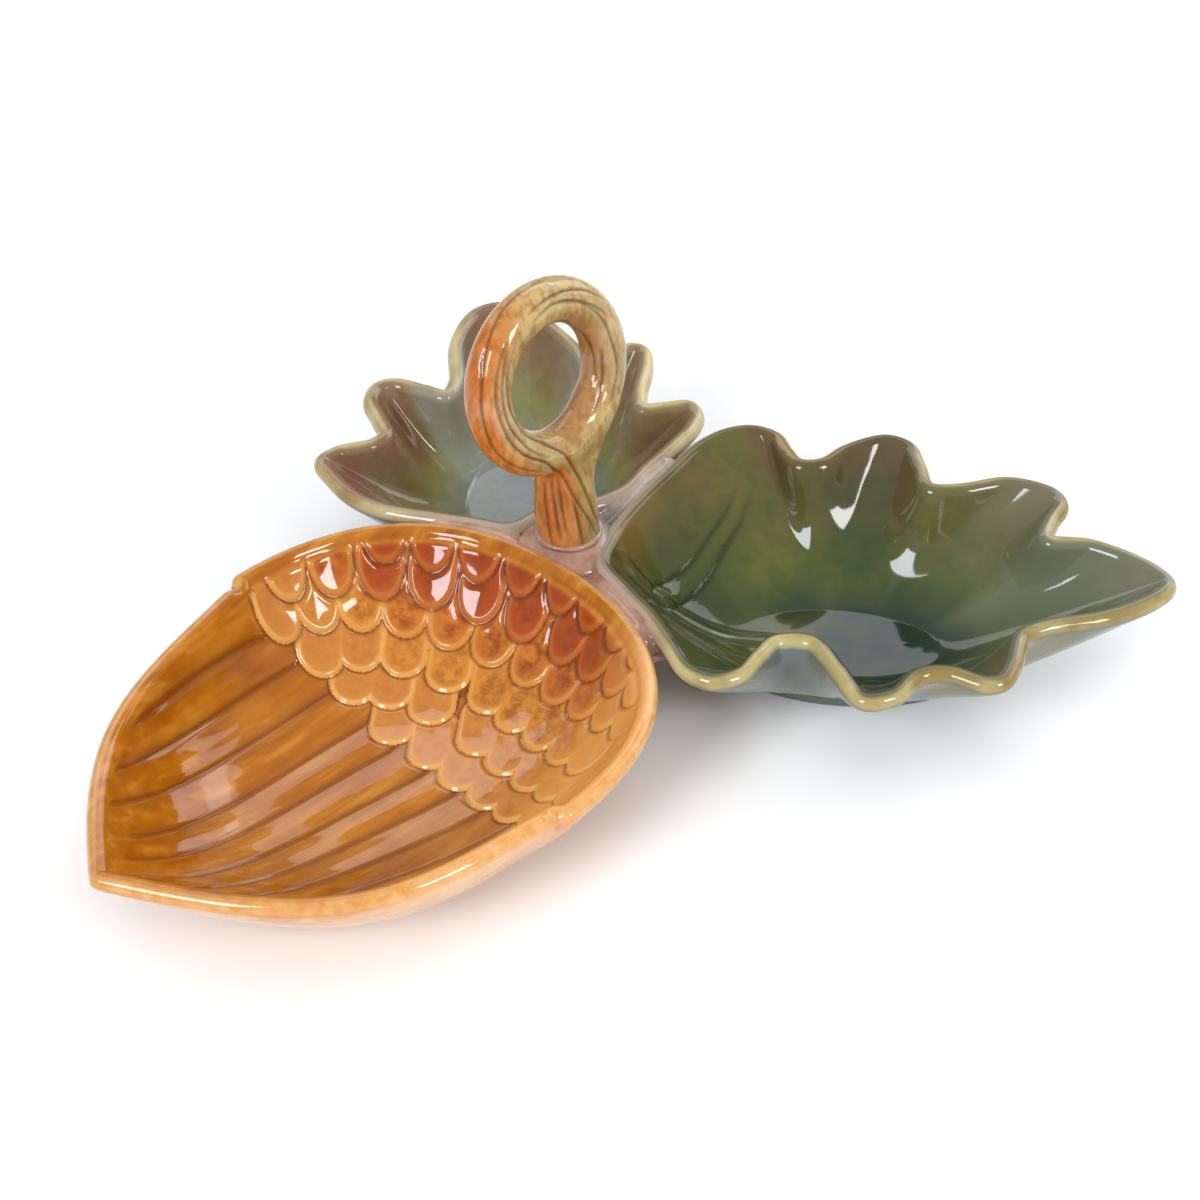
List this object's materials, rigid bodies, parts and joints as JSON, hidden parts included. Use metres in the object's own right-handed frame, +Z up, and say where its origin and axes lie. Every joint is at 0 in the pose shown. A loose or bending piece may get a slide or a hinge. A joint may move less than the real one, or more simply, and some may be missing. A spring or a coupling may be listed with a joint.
{
  "type": "divided candy dish",
  "caption": "Glazed ceramic serving dish of an acorn bowl and oak leaf bowls joined at the rims round a twig ring handle.",
  "frame": {"origin": "centre of the object's box in plan, on the surface that it stands on", "axes": "+Z up; -Y along the acorn from its stem end towards its tip; +X to the right of the acorn seen from its tip"},
  "size_m": [0.2424, 0.2958, 0.1243],
  "materials": {
    "amber_glaze": "gloss glaze",
    "green_glaze": "gloss glaze",
    "twig_glaze": "gloss glaze",
    "mauve_glaze": "gloss glaze"
  },
  "bodies": {
    "root": {"acorn_dish": "amber_glaze", "right_leaf_dish": "green_glaze", "left_leaf_dish": "green_glaze", "centre_saddle": "mauve_glaze", "seam_acorn_right_leaf": "mauve_glaze", "seam_acorn_left_leaf": "mauve_glaze", "seam_leaf_leaf": "mauve_glaze", "twig_handle": "twig_glaze", "handle_bead": "mauve_glaze"}
  },
  "joints": []
}
